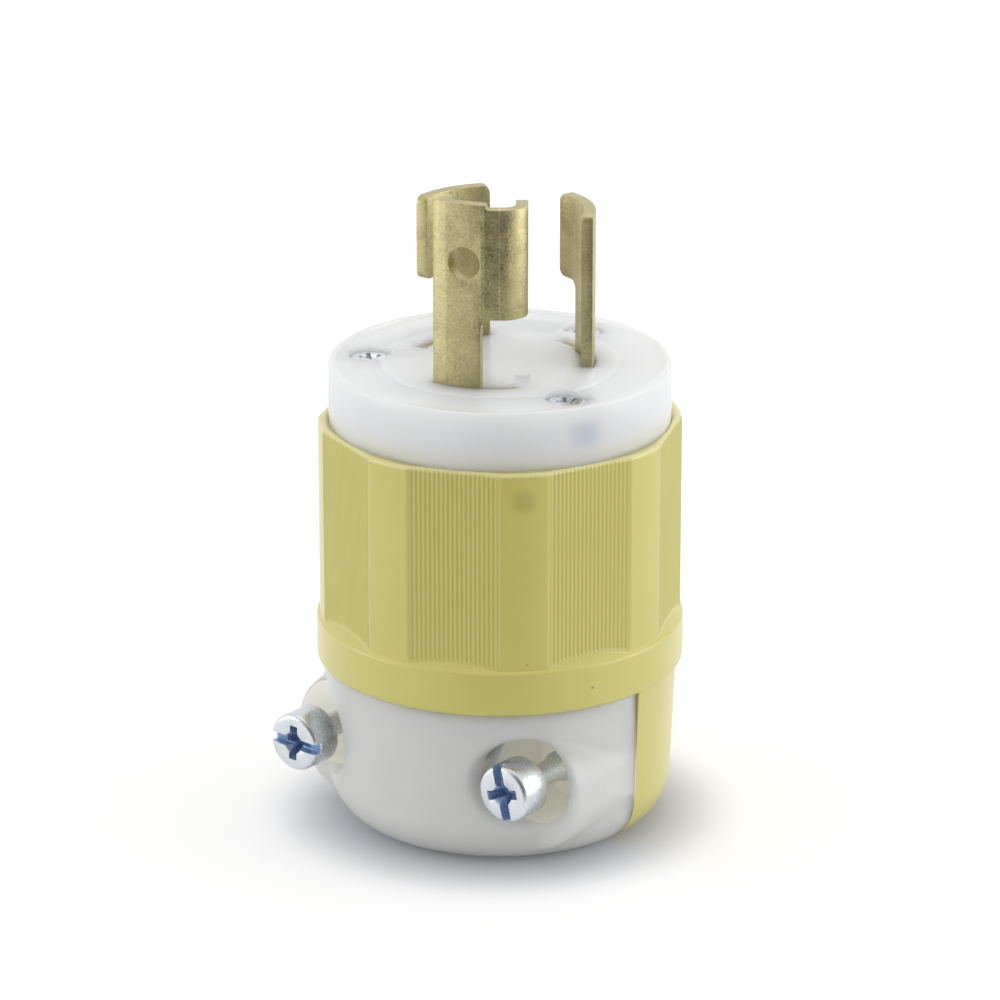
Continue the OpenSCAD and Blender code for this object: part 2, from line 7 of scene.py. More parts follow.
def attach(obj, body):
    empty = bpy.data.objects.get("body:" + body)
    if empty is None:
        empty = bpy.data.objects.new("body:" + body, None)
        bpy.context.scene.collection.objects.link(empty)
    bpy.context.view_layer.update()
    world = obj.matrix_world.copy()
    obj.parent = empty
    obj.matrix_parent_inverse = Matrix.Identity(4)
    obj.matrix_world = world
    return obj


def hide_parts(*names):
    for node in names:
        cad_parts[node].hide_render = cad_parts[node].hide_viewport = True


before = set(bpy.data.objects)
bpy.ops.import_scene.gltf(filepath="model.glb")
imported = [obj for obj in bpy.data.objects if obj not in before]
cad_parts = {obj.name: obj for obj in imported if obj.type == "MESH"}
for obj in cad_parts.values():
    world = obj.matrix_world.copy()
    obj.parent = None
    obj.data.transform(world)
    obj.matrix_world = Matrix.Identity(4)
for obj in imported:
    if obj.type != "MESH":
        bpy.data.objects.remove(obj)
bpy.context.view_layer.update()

# ---- Camera
# A long lens in front of the plug and to its right, a little above it, that
# looks at the middle of the grip.

view_turn = math.radians(37.5)
view_rise = math.radians(19.584)
look_at = Vector((0, 0, -0.01408))
back = Vector((
    math.sin(view_turn) * math.cos(view_rise),
    -math.cos(view_turn) * math.cos(view_rise),
    math.sin(view_rise),
))
lens = bpy.data.cameras.new("camera")
lens.lens = 189.6
lens.sensor_width = 36
lens.clip_start = 0.05
camera = bpy.data.objects.new("camera", lens)
camera.location = look_at + back * 0.5002
camera.rotation_euler = back.to_track_quat("Z", "Y").to_euler()
bpy.context.collection.objects.link(camera)
bpy.context.scene.camera = camera
bpy.context.scene.view_settings.view_transform = "Standard"

# ---- Front body
# The mating face, its band and the core inside the shell, moulded in one piece
# from milky white nylon. The blades stand in its slots, the terminals in wells
# that open to the side of the core, and three long screws hold it down.


def only(piece):
    """Makes a piece the one thing that operators act on."""
    if bpy.context.object and bpy.context.object.mode != "OBJECT":
        bpy.ops.object.mode_set(mode="OBJECT")
    bpy.ops.object.select_all(action="DESELECT")
    piece.select_set(True)
    bpy.context.view_layer.objects.active = piece


def turned(name, outline, sides=128):
    """A round solid: a disc drawn out along Z through (radius, height) steps."""
    radius, height = outline[0]
    bpy.ops.object.select_all(action="DESELECT")
    bpy.ops.mesh.primitive_circle_add(
        vertices=sides, radius=radius, fill_type="NGON", location=(0, 0, height)
    )
    piece = bpy.context.object
    piece.name = name
    bpy.ops.object.transform_apply(location=True)
    bpy.ops.object.mode_set(mode="EDIT")
    bpy.ops.mesh.select_all(action="SELECT")
    for next_radius, next_height in outline[1:]:
        bpy.ops.mesh.extrude_region_move(
            TRANSFORM_OT_translate={"value": (0, 0, next_height - height)}
        )
        grow = next_radius / radius
        bpy.ops.transform.resize(
            value=(grow, grow, 1), center_override=(0, 0, next_height)
        )
        radius, height = next_radius, next_height
    bpy.ops.mesh.select_all(action="SELECT")
    bpy.ops.mesh.normals_make_consistent(inside=False)
    bpy.ops.object.mode_set(mode="OBJECT")
    return piece


def block(name, low, high):
    """A box between two corners."""
    bpy.ops.object.select_all(action="DESELECT")
    middle = [(a + b) / 2 for a, b in zip(low, high)]
    bpy.ops.mesh.primitive_cube_add(size=1, location=middle)
    piece = bpy.context.object
    piece.name = name
    piece.scale = [b - a for a, b in zip(low, high)]
    bpy.ops.object.transform_apply(location=True, scale=True)
    return piece


def combine(piece, other, operation="DIFFERENCE"):
    """Cuts one piece with another, or joins the two into one solid."""
    only(piece)
    joiner = piece.modifiers.new("join", "BOOLEAN")
    joiner.operation = operation
    joiner.solver = "EXACT"
    joiner.object = other
    bpy.ops.object.modifier_apply(modifier=joiner.name)
    bpy.data.objects.remove(other, do_unlink=True)


def turn_about_z(piece, degrees):
    """Turns a piece about the plug's axis."""
    only(piece)
    piece.rotation_euler.z = math.radians(degrees)
    bpy.ops.object.transform_apply(rotation=True)


blade_r = 8.95
blade_t = 1.15
blade_starts = {"ground": -96.4, "line": 134.3, "neutral": 22.5}
stem_arcs = {"ground": 32.3, "line": 33, "neutral": 40}
tab_arcs = {"ground": 46.5, "line": 55.2, "neutral": 59}
hook_bend_r = 2.3
hook_turn = 87
hook_leg = 2
core_z = -18.6
plate_foot = -3.2
slot_gap = 0.15
slot_floor = -0.35
shoulder_reach = 0.65
assembly_r = 12.5
assembly_angles = (-23, 88, 207)
assembly_seat = -2.25


def along(degrees):
    """Length round the outside of the blades' circle."""
    return math.radians(degrees) * blade_r


def roll(piece, which, step=0.3):
    """Rolls a flat strip, whose X runs along it, into the blades' circle, and
    past the ground blade's tab into the inward bend and the leg after it."""
    only(piece)
    bpy.ops.object.mode_set(mode="EDIT")
    reach = [corner[0] for corner in piece.bound_box]
    for i in range(math.ceil(min(reach) / step), math.floor(max(reach) / step) + 1):
        bpy.ops.mesh.select_all(action="SELECT")
        bpy.ops.mesh.bisect(plane_co=(i * step, 0, 0), plane_no=(1, 0, 0))
    bpy.ops.object.mode_set(mode="OBJECT")
    bend_from = along(tab_arcs["ground"]) if which == "ground" else 1000
    bend_length = math.radians(hook_turn) * hook_bend_r
    start = math.radians(blade_starts[which])
    for vertex in piece.data.vertices:
        length, outward, height = vertex.co
        angle = start + min(length, bend_from) / blade_r
        middle = Vector((math.cos(angle), math.sin(angle))) * (blade_r - hook_bend_r)
        past = length - bend_from
        angle += min(max(past, 0), bend_length) / hook_bend_r
        outer = Vector((math.cos(angle), math.sin(angle)))
        along_leg = Vector((-outer.y, outer.x)) * max(past - bend_length, 0)
        place = middle + outer * (hook_bend_r - blade_t + outward) + along_leg
        vertex.co = (place.x, place.y, height)
    only(piece)
    bpy.ops.object.mode_set(mode="EDIT")
    bpy.ops.mesh.select_all(action="SELECT")
    bpy.ops.mesh.quads_convert_to_tris()
    bpy.ops.mesh.normals_make_consistent(inside=False)
    bpy.ops.object.mode_set(mode="OBJECT")


front_body = turned("front_body_nylon", [
    (14.4, core_z), (14.6, core_z + 0.2), (14.6, -6.6), (16.1, -6.6), (16.2, -6.5),
    (16.2, -0.3), (16.17, -0.15), (16.1, -0.06), (15.98, 0), (15.6, 0),
    (15.53, -0.03), (15.5, -0.09), (15.47, -0.2), (15.42, -0.25),
    (11.4, -0.25), (11.34, -0.22), (11.3, -0.1), (11.26, -0.03), (11.2, 0), (6, 0),
], sides=160)
for which in ("ground", "line", "neutral"):
    room = along(tab_arcs[which]) + 0.5
    if which == "ground":
        room = along(tab_arcs[which]) + hook_bend_r
        hook_room = along(tab_arcs[which]) + math.radians(hook_turn) * hook_bend_r
        hook_slot = block("hook_slot", (room - 0.25, 0.02 - slot_gap, slot_floor),
                          (hook_room + hook_leg + slot_gap, blade_t + slot_gap - 0.02, 1))
        roll(hook_slot, which)
        combine(front_body, hook_slot)
    slot = block("slot", (-slot_gap, -slot_gap, core_z - 1),
                 (room, blade_t + slot_gap, 1))
    roll(slot, which)
    combine(front_body, slot)
    shoulders = min(room, along(tab_arcs[which]) + hook_bend_r) + shoulder_reach
    well = block("well", (-shoulder_reach, -1.3, core_z - 1),
                 (shoulders, blade_t + 0.7, plate_foot))
    roll(well, "line")
    turn_about_z(well, blade_starts[which] - blade_starts["line"])
    combine(front_body, well)
    pocket = block("pocket", (6.5, -4.5, core_z - 1), (20, 4.5, -8.65))
    turn_about_z(pocket, blade_starts[which] + stem_arcs[which] / 2)
    combine(front_body, pocket)
for angle in assembly_angles:
    bore = turned("bore", [(1.35, core_z - 1), (1.35, assembly_seat),
                           (2.05, assembly_seat), (2.05, 1)], sides=48)
    bore.data.transform(Matrix.Translation((assembly_r, 0, 0)))
    turn_about_z(bore, angle)
    combine(front_body, bore)


class Wire:
    """A socket of a material's nodes, so that shader maths reads as arithmetic."""

    def __init__(self, tree, socket=None):
        self.tree = tree
        self.socket = socket

    def node(self, kind, settings=None, sockets=None, out=0):
        """Adds a node: its settings first, then the values or wires it takes."""
        made = self.tree.nodes.new(kind)
        for name, value in (settings or {}).items():
            if name == "stops":
                ramp = made.color_ramp
                while len(ramp.elements) < len(value):
                    ramp.elements.new(1)
                for stop, (place, colour) in zip(ramp.elements, value):
                    stop.position = place
                    stop.color = colour
            else:
                setattr(made, name, value)
        for name, value in (sockets or {}).items():
            if isinstance(value, Wire):
                self.tree.links.new(value.socket, made.inputs[name])
            else:
                made.inputs[name].default_value = value
        return Wire(self.tree, made.outputs[out])

    def maths(self, operation, *values):
        return self.node("ShaderNodeMath", {"operation": operation},
                         dict(enumerate(values)))

    def __add__(self, other):
        return self.maths("ADD", self, other)

    def __sub__(self, other):
        return self.maths("SUBTRACT", self, other)

    def __mul__(self, other):
        return self.maths("MULTIPLY", self, other)

    def __truediv__(self, other):
        return self.maths("DIVIDE", self, other)

    def __rsub__(self, other):
        return self.maths("SUBTRACT", other, self)

    __radd__ = __add__
    __rmul__ = __mul__

    def step(self, low, high):
        """0 below low, 1 above high, and a soft step between them."""
        return self.node("ShaderNodeMapRange", {"interpolation_type": "SMOOTHSTEP"}, {
            "Value": self, "From Min": low, "From Max": high,
        })

    def blend(self, low, high):
        """One colour where this is 0 and another where it is 1."""
        return self.node("ShaderNodeMix", {"data_type": "RGBA"},
                         {0: self, 6: low, 7: high}, out=2)


def colour(red, green, blue):
    """A colour as a screen shows it, from 0 to 255, for a shader."""
    return tuple(
        c / 12.92 if c <= 0.04045 else ((c + 0.055) / 1.055) ** 2.4
        for c in (red / 255, green / 255, blue / 255)
    ) + (1,)


def material(name, **plain):
    """A new material, its main shader with plain values set, and its wires."""
    made = bpy.data.materials.new(name)
    made.use_nodes = True
    shader = made.node_tree.nodes["Principled BSDF"]
    for socket, value in plain.items():
        shader.inputs[socket.replace("_", " ")].default_value = value
    return made, shader, Wire(made.node_tree)


def feed(shader, **wires):
    """Leads wires into the shader's sockets."""
    for socket, wire in wires.items():
        wire.tree.links.new(wire.socket, shader.inputs[socket.replace("_", " ")])


def place_on(wires):
    """The place on a piece in millimetres: its vector, and its X, Y and Z."""
    metres = wires.node("ShaderNodeTexCoord", out=3)
    spot = wires.node("ShaderNodeVectorMath", {"operation": "SCALE"},
                      {0: metres, "Scale": 1000})
    parts = [wires.node("ShaderNodeSeparateXYZ", None, {0: spot}, out=i)
             for i in range(3)]
    return spot, *parts


def mottle(wires, spot, scale, detail=3, rough=0.5):
    """Soft noise with this many spots in each millimetre."""
    return wires.node("ShaderNodeTexNoise", None, {
        "Vector": spot, "Scale": scale, "Detail": detail, "Roughness": rough,
    })


def diagonal(a, b):
    """How far two offsets square to each other reach together."""
    return a.maths("SQRT", a * a + b * b)


def bumped(wires, height, depth):
    """A bump from a height in millimetres."""
    return wires.node("ShaderNodeBump", None, {
        "Height": height, "Distance": depth * 0.001, "Strength": 1.0,
    })


white_nylon, shader, wires = material(
    "white_nylon", Roughness=0.25, IOR=1.5, Subsurface_Weight=1.0,
    Subsurface_Radius=(1.0, 0.98, 0.94), Subsurface_Scale=0.0045,
)
spot, x, y, z = place_on(wires)
cloud = mottle(wires, spot, 0.16)
fine = mottle(wires, spot, 1.6, 2)
shown = cloud.blend(colour(232, 235, 237), colour(240, 241, 242))
# Painted shadow: a faint bluish shade on the band over each assembly screw, standing in
# for the screw's shadow seen through the milky nylon.
shank_r = 14.9
for angle in assembly_angles:
    turn = math.radians(angle)
    away = diagonal(x - shank_r * math.cos(turn), y - shank_r * math.sin(turn))
    seen = 1 - (away + cloud * 1.5).step(0.6, 3.6)
    seen = seen * (1 - z.step(-2.4, -0.6)) * (z + fine).step(-5.2, -2.4)
    shown = (seen * 0.75).blend(shown, colour(160, 180, 212))
low_band = (1 - z.step(-5.6, -3.2)) * 0.8
shown = low_band.blend(shown, colour(244, 241, 222))
feed(shader, Base_Color=shown)


def settle(piece, finish, nodes, crease=35):
    """Brings a piece, made in millimetres, to metres and sets it in the frame."""
    only(piece)
    piece.scale = (0.001, 0.001, 0.001)
    bpy.ops.object.transform_apply(location=True, rotation=True, scale=True)
    bpy.ops.object.shade_smooth_by_angle(angle=math.radians(crease))
    piece.data.materials.clear()
    piece.data.materials.append(finish)
    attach(piece, "root")
    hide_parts(*nodes)




def clean(piece):
    """Joins corners that the cuts left a hair apart."""
    only(piece)
    bpy.ops.object.mode_set(mode="EDIT")
    bpy.ops.mesh.select_all(action="SELECT")
    bpy.ops.mesh.quads_convert_to_tris()
    bpy.ops.mesh.remove_doubles(threshold=0.003)
    bpy.ops.mesh.dissolve_degenerate(threshold=0.003)
    bpy.ops.object.mode_set(mode="OBJECT")


clean(front_body)
settle(front_body, white_nylon, ["front_body"])

# ---- Blades
# Stamped from brass strip, with rounded corners, and rolled to stand on one
# circle. The ground blade is taller, has a hole, and its tab is bent inwards.
# Each has shoulders under the face and a foot for its terminal screw.


def soften(piece, width, segments=2, crease=30):
    """Rounds the edges that are sharper than an angle."""
    only(piece)
    edge = piece.modifiers.new("edge", "BEVEL")
    edge.limit_method = "ANGLE"
    edge.angle_limit = math.radians(crease)
    edge.width = width
    edge.segments = segments
    edge.use_clamp_overlap = True
    bpy.ops.object.modifier_apply(modifier=edge.name)


def round_corners(piece, corners, segments=6):
    """Rounds the corners of a flat strip at each (length, height, radius)."""
    for length, height, radius in corners:
        only(piece)
        bpy.ops.object.mode_set(mode="EDIT")
        bpy.ops.mesh.select_all(action="DESELECT")
        bpy.ops.object.mode_set(mode="OBJECT")
        for edge in piece.data.edges:
            ends = [piece.data.vertices[i].co for i in edge.vertices]
            edge.select = all(
                abs(end.x - length) < 0.01 and abs(end.z - height) < 0.01
                for end in ends
            )
        bpy.ops.object.mode_set(mode="EDIT")
        bpy.ops.mesh.select_mode(type="EDGE")
        bpy.ops.mesh.bevel(offset=radius, segments=segments, affect="EDGES")
        bpy.ops.object.mode_set(mode="OBJECT")


def strip_hole(piece, length, height, radius):
    """A round hole through a flat strip."""
    bpy.ops.object.select_all(action="DESELECT")
    bpy.ops.mesh.primitive_cylinder_add(
        vertices=48, radius=radius, depth=4, location=(length, blade_t / 2, height),
        rotation=(math.pi / 2, 0, 0),
    )
    bpy.ops.object.transform_apply(location=True, rotation=True)
    combine(piece, bpy.context.object)


tops = {"ground": 17.6, "line": 14.7, "neutral": 14.7}
hook_top = 17.15
tab_gap = 6.6
shoulder_foot = -4.7
corner_r = 0.8

brass, shader, wires = material("blade_brass", Metallic=1.0, Roughness=0.3)
spot, x, y, z = place_on(wires)
grain = mottle(wires, spot, 4.2, 3, 0.7).step(0.3, 0.7)
patch = mottle(wires, spot, 0.5, 4).step(0.3, 0.7)
drawn = wires.node("ShaderNodeVectorMath", {"operation": "MULTIPLY"},
                   {0: spot, 1: (1.0, 1.0, 9.0)})
lines = mottle(wires, drawn, 0.7, 3).step(0.3, 0.7)
tone = patch.blend(colour(160, 150, 106), colour(192, 182, 132))
tone = (grain * 0.6).blend(tone, colour(218, 210, 166))
tone = (lines * 0.15).blend(tone, colour(128, 124, 92))
# Painted highlight: a lighter line on the ground blade's tab, just before it bends
# inwards.
angle = wires.maths("ARCTAN2", y, x) * (180 / math.pi)
bent = angle - blade_starts["ground"] - tab_arcs["ground"] + 3
crease = (1 - wires.maths("ABSOLUTE", bent).step(0.2, 0.8)) * diagonal(x, y).step(7.6, 7.8)
crease = crease * z.step(tab_gap - 1, tab_gap) * wires.maths("LESS_THAN", x, 8)
tone = (crease * 0.45).blend(tone, colour(226, 218, 180))
feed(shader, Base_Color=tone, Roughness=grain * 0.14 + patch * 0.1 + 0.26,
     Normal=bumped(wires, grain + lines * 0.5, 0.015))

for which in ("ground", "line", "neutral"):
    stem, tab, top = along(stem_arcs[which]), along(tab_arcs[which]), tops[which]
    end = tab
    if which == "ground":
        end = tab + math.radians(hook_turn) * hook_bend_r + hook_leg
    slot_end = tab + (hook_bend_r + 0.15 if which == "ground" else 0.5)
    blade = block(which + "_brass_blade", (0, 0, core_z), (end, blade_t, top))
    combine(blade, block("under", (stem, -1, core_z - 1), (end + 1, 3, shoulder_foot)))
    combine(blade, block("gap", (stem, -1, slot_floor), (end + 1, 3, tab_gap)))
    if end > tab:
        step = stem + 0.45
        combine(blade, block("past", (tab + hook_bend_r, -1, -9), (end + 1, 3, 0)))
        combine(blade, block("step", (step, -1, hook_top), (end + 1, 3, 19)))
        strip_hole(blade, along(21.8), 11.9, 1.575)
        round_corners(blade, [(0, top, corner_r), (stem, tab_gap, 0.9),
                              (step, hook_top, 0.3), (step, top, 0.35),
                              (end, hook_top, corner_r), (end, tab_gap, corner_r)])
    else:
        round_corners(blade, [(0, top, corner_r), (stem, tab_gap, 0.9),
                              (tab, top, corner_r), (tab, tab_gap, corner_r)])
    strip_hole(blade, stem / 2, -12.6, 1.52)
    shoulder = block("shoulder", (-0.5, 0, shoulder_foot),
                     (slot_end + 0.5, blade_t, plate_foot))
    soften(blade, 0.1)
    combine(blade, shoulder, "UNION")
    roll(blade, which)
    settle(blade, brass, [which + "_blade"], crease=40)

# ---- Shell
# One moulding of yellow nylon: the grip with its ribbed panels between plain
# lands, the flange, and the rear half of the cord end behind the split plane.
# The wiring chamber is inside it, and the long screws bite into three posts.

grip_r = 17.2
grip_top = -5.6
grip_foot = -25.0
flange_foot = -29.3
flange_r = 17.5
flange_round = 0.3
chamfer_slope = 1.1
panels = 8
panel_depth = 0.6
panel_half = math.pi / panels * 0.65
ribs = 20
rib_depth = 0.1
points_per_rib = 4
land_points = 14


def soft_max(a, b, width):
    """The larger of two numbers, with a soft turn from one to the other."""
    part = min(max((a - b) / width / 2 + 0.5, 0), 1)
    return b + (a - b) * part + width * part * (1 - part)


side_y = grip_r * math.cos(panel_half)
side_x = grip_r * math.sin(panel_half)
plan = []
for panel in range(panels):
    middle = (panel + 0.5) * math.tau / panels
    for i in range(ribs * points_per_rib + 1):
        across = 2 * i / (ribs * points_per_rib) - 1
        middle_r = grip_r - panel_depth
        deep = middle_r + (side_y - middle_r) * across * across
        groove = (1 - math.cos(i * math.tau / points_per_rib)) / 2
        groove = rib_depth * (1 - groove ** 2) * (0 < i < ribs * points_per_rib)
        turn = math.atan2(across * side_x, deep)
        plan.append((middle + turn, math.hypot(across * side_x, deep), groove))
    for i in range(1, land_points):
        turn = panel_half + (math.pi / panels - panel_half) * 2 * i / land_points
        plan.append((middle + turn, grip_r, 0))
heights = [grip_top, grip_top - 0.05, grip_top - 0.13, grip_top - 0.25, grip_top - 0.4]
heights += [grip_top - 1.2, -12, -18, -22, -23.4, -23.8]
heights += [grip_foot + 1.1 - 0.06 * i for i in range(21)]
heights += [-25.15, -25.25, -25.35, -25.5, -26, -28.7, -28.95, -29.1, -29.2, -29.26]
heights += [flange_foot]
heights = sorted(set(round(height, 3) for height in heights), reverse=True)


def grip_radius(entry, height):
    """Radius of the shell's outside in one direction and at one height."""
    radius, groove = entry[1:]
    below = (grip_top - height) / 0.3
    edge = 0.3 * (1 - math.sqrt(1 - (1 - below) ** 2)) if below < 1 else 0
    chamfer_top, chamfer_in = grip_foot + 0.8, 16.5
    meets = chamfer_top - (radius - chamfer_in) / chamfer_slope
    groove *= min(max((height - meets - 0.1) / 0.3, 0), 1)
    out = radius - groove - edge
    chamfer = chamfer_in + (chamfer_top - height) * chamfer_slope
    if height < grip_foot + 1.1:
        out = soft_max(min(chamfer, flange_r), out, 0.05)
    if height < grip_foot + 0.2:
        drop = max(height - (grip_foot - 0.3), 0) / 0.4
        rounding = flange_round * (1 - math.sqrt(max(1 - drop ** 2, 0)))
        out = min(out, flange_r - rounding)
    low = (height - flange_foot) / 0.4
    if low < 1:
        out = min(out, flange_r - 0.4 * (1 - math.sqrt(1 - (1 - low) ** 2)))
    return out


bpy.ops.object.select_all(action="DESELECT")
bpy.ops.mesh.primitive_circle_add(vertices=len(plan), radius=1, fill_type="NGON")
shell = bpy.context.object
shell.name = "shell_yellow"
bpy.ops.object.mode_set(mode="EDIT")
bpy.ops.mesh.select_all(action="SELECT")
for _ in heights[1:]:
    bpy.ops.mesh.extrude_region_move(TRANSFORM_OT_translate={"value": (0, 0, -1)})
bpy.ops.object.mode_set(mode="OBJECT")
rows = {}
for vertex in shell.data.vertices:
    rows.setdefault(round(-vertex.co.z), []).append(vertex)
for row, height in enumerate(heights):
    ring = sorted(rows[row], key=lambda v: math.atan2(v.co.y, v.co.x) % math.tau)
    for vertex, entry in zip(ring, plan):
        radius = grip_radius(entry, height)
        vertex.co = (radius * math.cos(entry[0]), radius * math.sin(entry[0]), height)
only(shell)
bpy.ops.object.mode_set(mode="EDIT")
bpy.ops.mesh.select_all(action="SELECT")
bpy.ops.mesh.normals_make_consistent(inside=False)
bpy.ops.object.mode_set(mode="OBJECT")

combine(shell, turned("chamber", [(15, -27.3), (15, -7), (16.25, -6.6), (16.25, 1)],
                      sides=160))
combine(shell, turned("entry", [(5.6, -40), (5.6, 0)], sides=96))


def copied(node, name):
    """A copy of a CAD solid in millimetres, with its loose triangles joined."""
    bpy.ops.object.select_all(action="DESELECT")
    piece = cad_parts[node].copy()
    piece.data = piece.data.copy()
    piece.name = name
    piece.parent = None
    for key in list(piece.keys()):
        del piece[key]
    bpy.context.collection.objects.link(piece)
    only(piece)
    piece.scale = (1000, 1000, 1000)
    bpy.ops.object.transform_apply(location=True, rotation=True, scale=True)
    bpy.ops.object.mode_set(mode="EDIT")
    bpy.ops.mesh.select_all(action="SELECT")
    bpy.ops.mesh.remove_doubles(threshold=0.001)
    bpy.ops.object.mode_set(mode="OBJECT")
    return piece


tail = copied("back_shell", "tail")
only(tail)
bpy.ops.object.mode_set(mode="EDIT")
bpy.ops.mesh.select_all(action="SELECT")
bpy.ops.mesh.bisect(plane_co=(0, 0, flange_foot - 0.02), plane_no=(0, 0, 1),
                    clear_outer=True, use_fill=True)
bpy.ops.mesh.extrude_region_move(TRANSFORM_OT_translate={"value": (0, 0, 0.6)})
bpy.ops.object.mode_set(mode="OBJECT")
combine(shell, tail, "UNION")

yellow_nylon, shader, wires = material(
    "yellow_nylon", Roughness=0.36, IOR=1.6, Subsurface_Weight=0.1,
    Subsurface_Radius=(1.0, 0.85, 0.4), Subsurface_Scale=0.0006,
    Coat_Weight=0.6, Coat_Roughness=0.25,
)
spot, x, y, z = place_on(wires)
cloud = mottle(wires, spot, 0.12)
fine = mottle(wires, spot, 3.0, 3)
shown = cloud.blend(colour(211, 202, 102), colour(219, 210, 115))
half_panel = math.pi / panels
# Painted shade: the rib grooves on the panels are drawn darker.
sector = wires.maths("PINGPONG", wires.maths("ARCTAN2", y, x) + math.pi, half_panel)
across = wires.maths("SINE", half_panel - sector) * diagonal(x, y)
comb = wires.maths("COSINE", across * (math.tau * ribs / 2 / side_x))
comb = (comb + 1) * 0.5 * (1 - across.step(side_x - 0.1, side_x))
comb = comb * z.step(grip_foot, -24.4) * (1 - z.step(-6.0, -5.8))
shown = (comb * 0.14).blend(shown, colour(160, 150, 66))
# Painted highlight: a pale, uneven line along the shell's rounded top edge.
top_edge = (z + fine * 0.5).step(-5.75, -5.5)
shown = (top_edge * 0.6).blend(shown, colour(236, 228, 170))


def mark(wires, spot, degrees, radius, height, size):
    """1 inside a small round mark on the shell, and 0 outside it."""
    turn = math.radians(degrees)
    middle = (radius * math.cos(turn), radius * math.sin(turn), height)
    away = wires.node("ShaderNodeVectorMath", {"operation": "DISTANCE"},
                      {0: spot, 1: middle}, out=1)
    return 1 - (away + cloud * size * 0.6).step(size * 0.5, size * 1.4)


smudge = mark(wires, spot, -45, grip_r, -8.3, 1.5)
shown = (smudge * 0.22).blend(shown, colour(110, 100, 60))
for degrees, radius, height, size in (
    (-64.5, 17.3, -25.4, 0.13), (-44, 17.2, -24.3, 0.12), (-23, 17.5, -27.2, 0.2),
    (100, 17.4, -26.6, 0.16), (-110, 17.0, -15, 0.1), (172, 17.0, -19, 0.12),
):
    shown = (mark(wires, spot, degrees, radius, height, size) * 0.7).blend(
        shown, colour(70, 60, 30))
feed(shader, Base_Color=shown, Roughness=fine * 0.14 + 0.3)
clean(shell)
settle(shell, yellow_nylon, ["back_shell"], crease=32)

# ---- Cord clamp
# The front half of the cord end, moulded from the same milky nylon as the front
# body. Its two round ears take the clamp screws in deep counterbores.

clamp_x = 11.8
clamp_z = -36.4
ear_face = -10.4
split_y = -0.6

clamp_nylon, shader, wires = material(
    "clamp_nylon", Roughness=0.3, IOR=1.5, Emission_Strength=1.0, Subsurface_Weight=1.0,
    Subsurface_Radius=(1.0, 0.98, 0.9), Subsurface_Scale=0.005,
)
spot, x, y, z = place_on(wires)
cloud = mottle(wires, spot, 0.14, 2)
# Painted light: inside the counterbores the nylon is drawn lighter and glows warm white,
# standing in for light that shines through the ears.
away = diagonal(wires.maths("ABSOLUTE", x) - clamp_x, z - clamp_z)
inside = (1 - away.step(4.2, 4.45)) * y.step(-10.6, -9.8)
shown = cloud.blend(colour(225, 226, 223), colour(231, 232, 230))
feed(shader, Base_Color=inside.blend(shown, colour(254, 252, 240)),
     Emission_Color=inside.blend((0, 0, 0, 1), (0.14, 0.133, 0.11, 1)))

clamp = copied("cord_clamp", "cord_clamp_nylon")
only(clamp)
bpy.ops.object.mode_set(mode="EDIT")
bpy.ops.mesh.select_all(action="DESELECT")
bpy.ops.object.mode_set(mode="OBJECT")
for face in clamp.data.polygons:
    face.select = face.normal.y > 0.99 and abs(face.center.y - split_y) < 0.02
bpy.ops.object.mode_set(mode="EDIT")
bpy.ops.mesh.select_mode(type="FACE")
bpy.ops.mesh.extrude_region_move(TRANSFORM_OT_translate={"value": (0, 3, 0)})
bpy.ops.object.mode_set(mode="OBJECT")


def rod_along_y(name, x, z, radius, near, far):
    """A round rod along Y between two places."""
    rod = turned(name, [(radius, near), (radius, far)], sides=72)
    only(rod)
    rod.rotation_euler.x = -math.pi / 2
    rod.location = (x, 0, z)
    bpy.ops.object.transform_apply(location=True, rotation=True)
    return rod


for side in (-1, 1):
    combine(clamp, rod_along_y("plug", side * clamp_x, clamp_z, 4.6, ear_face, -2),
            "UNION")
only(clamp)
mould = clamp.modifiers.new("mould", "REMESH")
mould.mode = "VOXEL"
mould.voxel_size = 0.4
bpy.ops.object.modifier_apply(modifier=mould.name)
ease = clamp.modifiers.new("ease", "SMOOTH")
ease.factor = 0.5
ease.iterations = 9
bpy.ops.object.modifier_apply(modifier=ease.name)
round_over = clamp.modifiers.new("round_over", "SUBSURF")
round_over.levels = round_over.render_levels = 1
bpy.ops.object.modifier_apply(modifier=round_over.name)
bpy.ops.object.mode_set(mode="EDIT")
bpy.ops.mesh.select_all(action="SELECT")
bpy.ops.mesh.bisect(plane_co=(0, split_y, 0), plane_no=(0, 1, 0), clear_outer=True,
                    use_fill=True)
bpy.ops.object.mode_set(mode="OBJECT")
for vertex in clamp.data.vertices:
    reach = 17 - 0.36 * min(max((vertex.co.y + 6) / 5, 0), 1)
    vertex.co.x = min(max(vertex.co.x, -reach), reach)
for side in (-1, 1):
    combine(clamp, rod_along_y("seat", side * clamp_x, clamp_z, 4.3, -20, -3.6))
    combine(clamp, rod_along_y("hole", side * clamp_x, clamp_z, 1.7, -20, 5))
only(clamp)
bpy.ops.object.mode_set(mode="EDIT")
bpy.ops.mesh.select_all(action="SELECT")
bpy.ops.mesh.quads_convert_to_tris(quad_method="BEAUTY", ngon_method="BEAUTY")
bpy.ops.object.mode_set(mode="OBJECT")
settle(clamp, clamp_nylon, ["cord_clamp"], crease=50)

# ---- Clamp screws
# Zinc-plated steel. Each has a round head with a slot across it and a shorter
# one square to it, a thin neck, and a thread that ends in its nut.

left_out = 17
right_out = 15.1
head_h = 3.4

